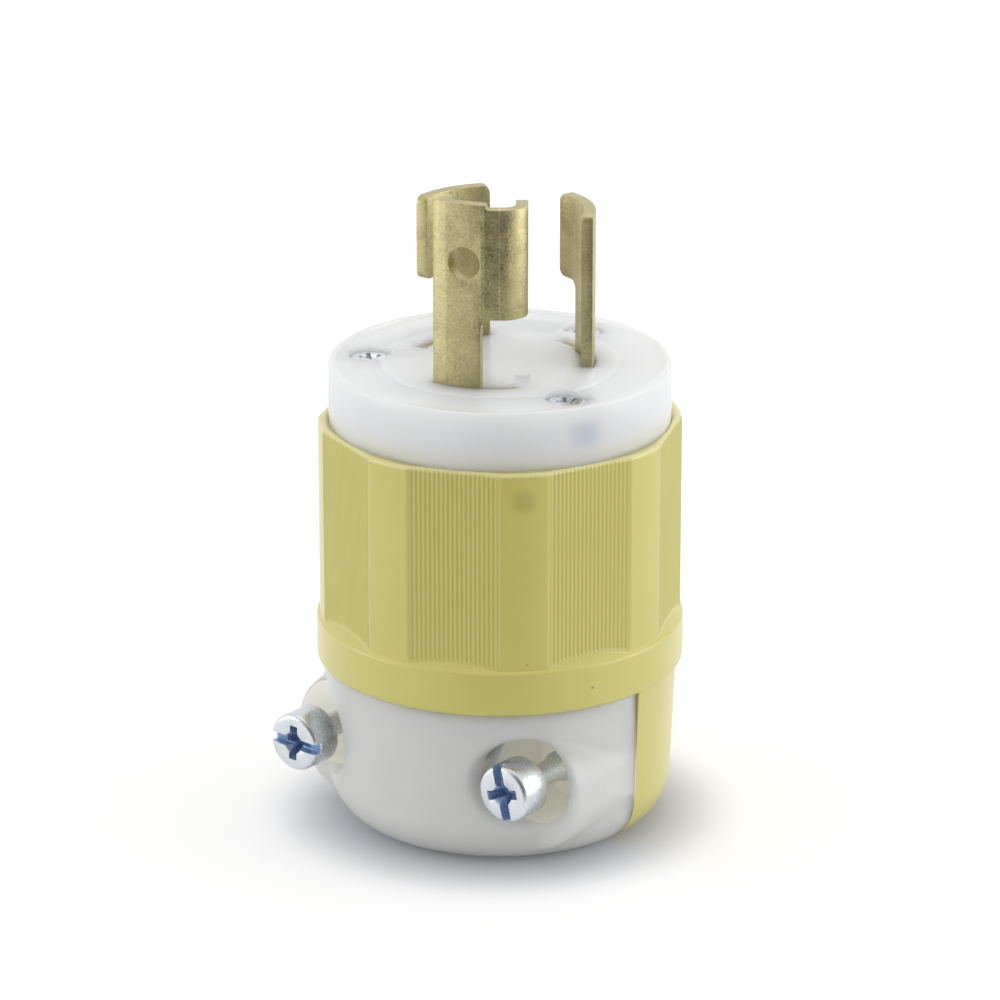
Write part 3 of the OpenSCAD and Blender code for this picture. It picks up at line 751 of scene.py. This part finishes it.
zinc, shader, wires = material("zinc_steel", Metallic=1.0, Roughness=0.25)
spot, x, y, z = place_on(wires)
grain = mottle(wires, spot, 4.0, 4, 0.7)
patch = mottle(wires, spot, 0.7)
away = diagonal(wires.maths("ABSOLUTE", x) - clamp_x, z - clamp_z)
behind_face = y + (left_out + right_out) / 2
behind_face = behind_face - wires.maths("SIGN", x) * ((left_out - right_out) / 2)
recess = (1 - away.step(2.55, 2.7)) * behind_face.step(0.1, 0.25)
recess = recess * (1 - behind_face.step(2.1, 2.4))
plated = patch.blend(colour(196, 202, 210), colour(226, 229, 232))
feed(shader, Base_Color=recess.blend(plated, colour(140, 167, 203)),
     Metallic=1 - recess * 0.6,
     Roughness=grain * 0.22 + patch * 0.08 + 0.12, Normal=bumped(wires, grain, 0.02))


def screw(name, head_r, head_h, neck_r, neck_l, thread_r, length, pitch, recess):
    """A screw that stands on its head's underside at Z = 0, driven downwards."""
    piece = turned(name, [
        (thread_r * 0.55, -length), (thread_r * 0.8, -length + 0.35),
        (thread_r * 0.8, -neck_l), (neck_r, -neck_l * 0.8), (neck_r, -0.1),
        (neck_r + 0.15, 0), (head_r - 0.12, 0), (head_r, 0.12),
        (head_r, head_h - 0.4), (head_r - 0.06, head_h - 0.22),
        (head_r - 0.2, head_h - 0.07), (head_r - 0.42, head_h), (0.4, head_h),
    ], sides=64)
    for turn, wide, half, deep in recess:
        cutter = block("recess", (-half, -wide / 2, head_h - deep),
                       (half, wide / 2, head_h + 1))
        if half < head_r:
            only(cutter)
            bpy.ops.object.mode_set(mode="EDIT")
            bpy.ops.mesh.select_all(action="DESELECT")
            bpy.ops.object.mode_set(mode="OBJECT")
            for face in cutter.data.polygons:
                face.select = face.normal.z < -0.9
            bpy.ops.object.mode_set(mode="EDIT")
            bpy.ops.mesh.select_mode(type="FACE")
            bpy.ops.transform.resize(value=(0.55, 0.7, 1), center_override=(0, 0, 0))
            bpy.ops.object.mode_set(mode="OBJECT")
        turn_about_z(cutter, turn)
        combine(piece, cutter)
    heart = turned("heart", [(head_r * 0.12, head_h * 0.4), (head_r * 0.55, head_h + 0.1)],
                   sides=4)
    turn_about_z(heart, recess[0][0])
    combine(piece, heart)
    turns = (length - neck_l - 0.6) / pitch
    bpy.ops.object.select_all(action="DESELECT")
    bpy.ops.mesh.primitive_circle_add(vertices=3, radius=1, fill_type="NOTHING")
    ridge = bpy.context.object
    ridge.name = name + "_thread"
    root_r, half_pitch = thread_r * 0.78, pitch * 0.42
    corners = [(thread_r, 0), (root_r, half_pitch), (root_r, -half_pitch)]
    for vertex, (out, up) in zip(ridge.data.vertices, corners):
        vertex.co = (out, 0, up - length + 0.35 + half_pitch)
    only(ridge)
    wind = ridge.modifiers.new("wind", "SCREW")
    wind.axis = "Z"
    wind.angle = turns * math.tau
    wind.screw_offset = turns * pitch
    wind.steps = wind.render_steps = int(turns * 32)
    wind.use_smooth_shade = False
    bpy.ops.object.modifier_apply(modifier=wind.name)
    bpy.ops.object.mode_set(mode="EDIT")
    bpy.ops.mesh.select_all(action="SELECT")
    bpy.ops.mesh.remove_doubles(threshold=0.001)
    bpy.ops.mesh.select_mode(type="VERT")
    bpy.ops.mesh.select_all(action="DESELECT")
    bpy.ops.mesh.select_non_manifold()
    bpy.ops.mesh.fill()
    bpy.ops.mesh.select_all(action="SELECT")
    bpy.ops.mesh.normals_make_consistent(inside=False)
    bpy.ops.object.mode_set(mode="OBJECT")
    return piece, ridge


for side, name, out, turn in (
    (-1, "left", left_out, -3), (1, "right", right_out, 104),
):
    piece, ridge = screw("clamp_screw_" + name + "_zinc", 2.8, head_h, 1.15, 5, 1.5, 18,
                         0.7, [(turn, 1.05, 4, 0.9), (turn + 90, 1.0, 2.05, 1.8),
                               (turn, 1.0, 2.05, 1.8)])
    combine(piece, ridge, "UNION")
    soften(piece, 0.05, 1, 40)
    only(piece)
    piece.rotation_euler = (math.pi / 2, 0, 0)
    piece.location = (side * clamp_x, -(out - head_h), clamp_z)
    bpy.ops.object.transform_apply(location=True, rotation=True)
    settle(piece, zinc, ["clamp_screw_" + name], crease=35)

# ---- Assembly screws
# Three long zinc-plated screws, sunk in the face, that pull the front body and
# the retainer into the shell.

for number, angle in enumerate(assembly_angles, 1):
    piece, ridge = screw("assembly_screw_%d_zinc" % number, 1.9, 1.8, 0.95, 12, 1.2, 23,
                         0.6, [(20 + 40 * number, 0.5, 1.35, 0.9),
                               (110 + 40 * number, 0.5, 1.35, 0.9)])
    combine(piece, ridge, "UNION")
    only(piece)
    turn = math.radians(angle)
    piece.location = (assembly_r * math.cos(turn), assembly_r * math.sin(turn),
                      assembly_seat)
    bpy.ops.object.transform_apply(location=True)
    settle(piece, zinc, ["assembly_screw_%d" % number], crease=35)

# ---- Inside the plug
# The terminal screws and their clamp plates, the retainer that closes the core
# and the nuts behind the cord end keep the shapes of the solids.


def finish_solid(finish, *nodes):
    """Gives CAD solids a material."""
    for node in nodes:
        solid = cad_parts[node]
        solid.data.materials.clear()
        solid.data.materials.append(finish)


green, shader, wires = material("green_steel", Metallic=0.3, Roughness=0.35)
spot, x, y, z = place_on(wires)
patch = mottle(wires, spot, 1.2)
feed(shader, Base_Color=patch.blend(colour(36, 104, 66), colour(52, 128, 84)),
     Roughness=patch * 0.15 + 0.28)
dark, shader, wires = material("dark_plastic", Roughness=0.5)
spot, x, y, z = place_on(wires)
patch = mottle(wires, spot, 0.5)
feed(shader, Base_Color=patch.blend(colour(62, 62, 64), colour(78, 78, 80)),
     Roughness=patch * 0.12 + 0.44)
finish_solid(green, "ground_terminal_screw")
finish_solid(brass, "line_terminal_screw")
finish_solid(zinc, "neutral_terminal_screw", "ground_wire_clamp", "line_wire_clamp",
             "neutral_wire_clamp", "clamp_nut_left", "clamp_nut_right")
finish_solid(dark, "blade_retainer")

# ---- Studio
# A white floor that runs on to the horizon, with a painted shadow round the plug's
# foot and, seen only in reflections, a darker patch ahead of it; a white surround
# that is darker in front of the plug; and soft lamps at both sides and above.

bpy.ops.object.select_all(action="DESELECT")
bpy.ops.mesh.primitive_plane_add(size=12, location=(0, 0, -0.0454))
floor = bpy.context.object
floor.name = "floor"
floor_white, shader, wires = material("floor_white", Roughness=0.9,
                                      Emission_Strength=1.0)
shader.inputs["Specular IOR Level"].default_value = 0
seen = wires.node("ShaderNodeLightPath", out=0)
for other in (3, 6):
    seen = wires.maths("MAXIMUM", seen, wires.node("ShaderNodeLightPath", out=other))
spot, x, y, z = place_on(wires)
away = diagonal(x, y)
# Painted shadow: within about 15 to 24 mm of the plug's axis the floor is drawn darker and
# bluer and glows less.
open_floor = away.step(14.5, 24)
bearing = (x * 0.609 - y * 0.793) / away
ahead = wires.node("ShaderNodeLightPath", out=3) * bearing.step(0.84, 0.98)
ahead = ahead * away.step(30, 90)
seen_floor = open_floor.blend(colour(192, 193, 200), colour(248, 248, 249))
seen_floor = ahead.blend(seen_floor, colour(110, 110, 106))
feed(shader, Base_Color=seen.blend(colour(200, 200, 200), seen_floor),
     Emission_Color=(seen * (open_floor * 0.5 + 0.5) * (1 - ahead)).blend(
         (0, 0, 0, 1), (0.17, 0.17, 0.175, 1)))
floor.data.materials.append(floor_white)

world = bpy.data.worlds.new("surround")
world.use_nodes = True
bpy.context.scene.world = world
lit = Wire(world.node_tree)
sky = world.node_tree.nodes["Background"]
seen = lit.node("ShaderNodeLightPath", out=0)
shine = lit.maths("MAXIMUM", lit.node("ShaderNodeLightPath", out=3),
                  lit.node("ShaderNodeLightPath", out=6))
toward = lit.node("ShaderNodeTexCoord", out=0)
front = lit.node("ShaderNodeVectorMath", {"operation": "DOT_PRODUCT"},
                 {0: toward, 1: (0.58, -0.76, 0.28)}, out=1)
dim = front.step(0.4, 0.98)
surround = 0.85 - dim * 0.2
surround = surround + shine * (0.15 - dim * 0.62)
surround = lit.maths("MAXIMUM", seen, surround)
lit.tree.links.new(surround.socket, sky.inputs["Strength"])
sky.inputs["Color"].default_value = (1, 1, 1, 1)


def lamp(name, place, size, power):
    """A square soft lamp that points at the plug."""
    light = bpy.data.lights.new(name, "AREA")
    light.size = size
    light.energy = power
    holder = bpy.data.objects.new(name, light)
    holder.location = place
    aim = Vector(place) - Vector((0, 0, -0.02))
    holder.rotation_euler = aim.to_track_quat("Z", "Y").to_euler()
    bpy.context.collection.objects.link(holder)


lamp("top", (-0.05, 0.1, 0.5), 0.4, 0.25)
lamp("left", (-0.38, -0.34, 0.1), 0.3, 0.45)
lamp("right", (0.42, 0.32, 0.12), 0.35, 0.78)
